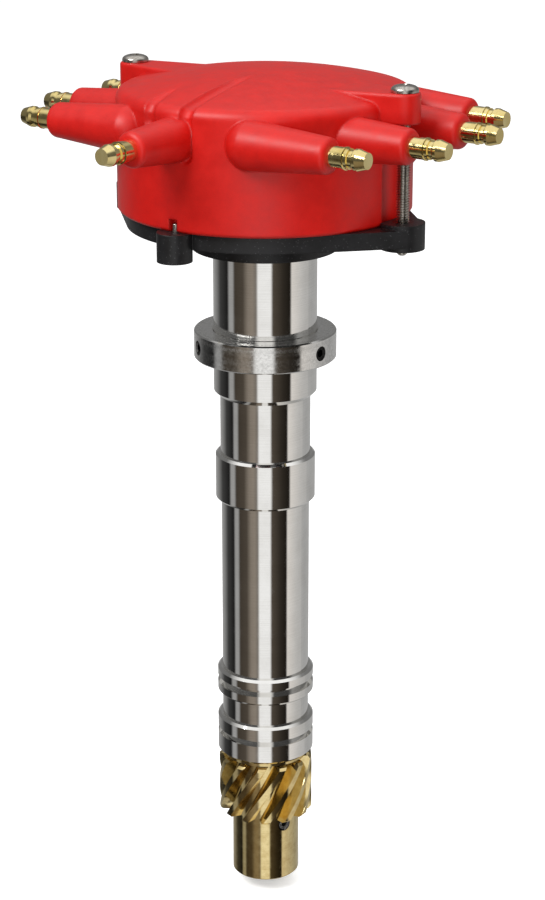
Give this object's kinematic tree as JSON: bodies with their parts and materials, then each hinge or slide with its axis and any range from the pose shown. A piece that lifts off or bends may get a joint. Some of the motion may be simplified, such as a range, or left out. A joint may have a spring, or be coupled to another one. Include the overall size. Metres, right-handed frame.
{
  "type": "ignition distributor",
  "caption": "Crank-triggered V8 ignition distributor: domed cap with side-exit post towers, billet housing, slip collar, rotor on a geared shaft.",
  "frame": {"origin": "on the shaft axis, in the plane of the slip collar's underside", "axes": "+Z along the shaft up to the cap, +X along the line through the two cap screws, the coil tower points within two degrees of -Y"},
  "size_m": [0.1518, 0.1267, 0.2781],
  "materials": {
    "housing_alloy": "polished machined billet aluminium",
    "collar_alloy": "turned and lightly brushed aluminium",
    "bronze": "machined bronze",
    "brass": "turned bright brass",
    "bearing_steel": "ground bearing steel",
    "spring_steel": "spring steel",
    "black_oxide_steel": "black oxide alloy steel",
    "plated_steel": "zinc plated steel",
    "stainless_steel": "bright stainless steel",
    "shaft_steel": "ground steel",
    "black_plastic": "satin black moulded thermoplastic",
    "red_plastic": "satin red moulded thermoplastic polyester",
    "rotor_plastic": "black moulded thermoplastic",
    "carbon": "pressed carbon"
  },
  "bodies": {
    "housing_body": {"housing": "housing_alloy", "lower_bushing": "bronze", "bearing_outer_race": "bearing_steel", "bearing_shields": "bearing_steel", "bearing_clip": "spring_steel", "cap_base": "black_plastic", "ear_inserts": "brass", "locating_pin": "plated_steel", "base_screws": "plated_steel", "cap_screws": "stainless_steel", "distributor_cap": "red_plastic", "plug_terminals": "brass", "plug_electrodes": "brass", "coil_terminal": "brass", "coil_conductor": "brass", "brush_spring": "spring_steel", "thrust_washer": "bronze"},
    "shaft_body": {"main_shaft": "shaft_steel", "bearing_inner_race": "bearing_steel", "rotor_hub": "collar_alloy", "rotor_body": "rotor_plastic", "rotor_blade": "brass", "rotor_screws": "stainless_steel", "drive_gear": "bronze", "gear_roll_pin": "black_oxide_steel", "thrust_shim": "plated_steel"},
    "cage_body": {"bearing_balls": "bearing_steel", "bearing_cage": "brass"},
    "collar_body": {"slip_collar": "collar_alloy", "collar_set_screws": "black_oxide_steel"},
    "brush_body": {"carbon_brush": "carbon"}
  },
  "joints": [
    {"name": "shaft_spin", "type": "hinge", "parent": "housing_body", "child": "shaft_body", "pos_m": [0, 0, 0], "axis": [0, 0, 1], "continuous": true},
    {"name": "bearing_cage_spin", "type": "hinge", "parent": "housing_body", "child": "cage_body", "pos_m": [0, 0, 0], "axis": [0, 0, 1], "continuous": true},
    {"name": "collar_slide", "type": "slide", "parent": "housing_body", "child": "collar_body", "axis": [0, 0, 1], "range_m": [-0.01, 0.025]},
    {"name": "brush_travel", "type": "slide", "parent": "housing_body", "child": "brush_body", "axis": [0, 0, 1], "range_m": [0, 0.0015], "stiffness_N_per_m": 400, "springref_m": -0.003, "deforming": ["brush_spring"]}
  ],
  "couplings": [
    {"joint": "bearing_cage_spin", "follows": "shaft_spin", "ratio": 0.3845}
  ]
}
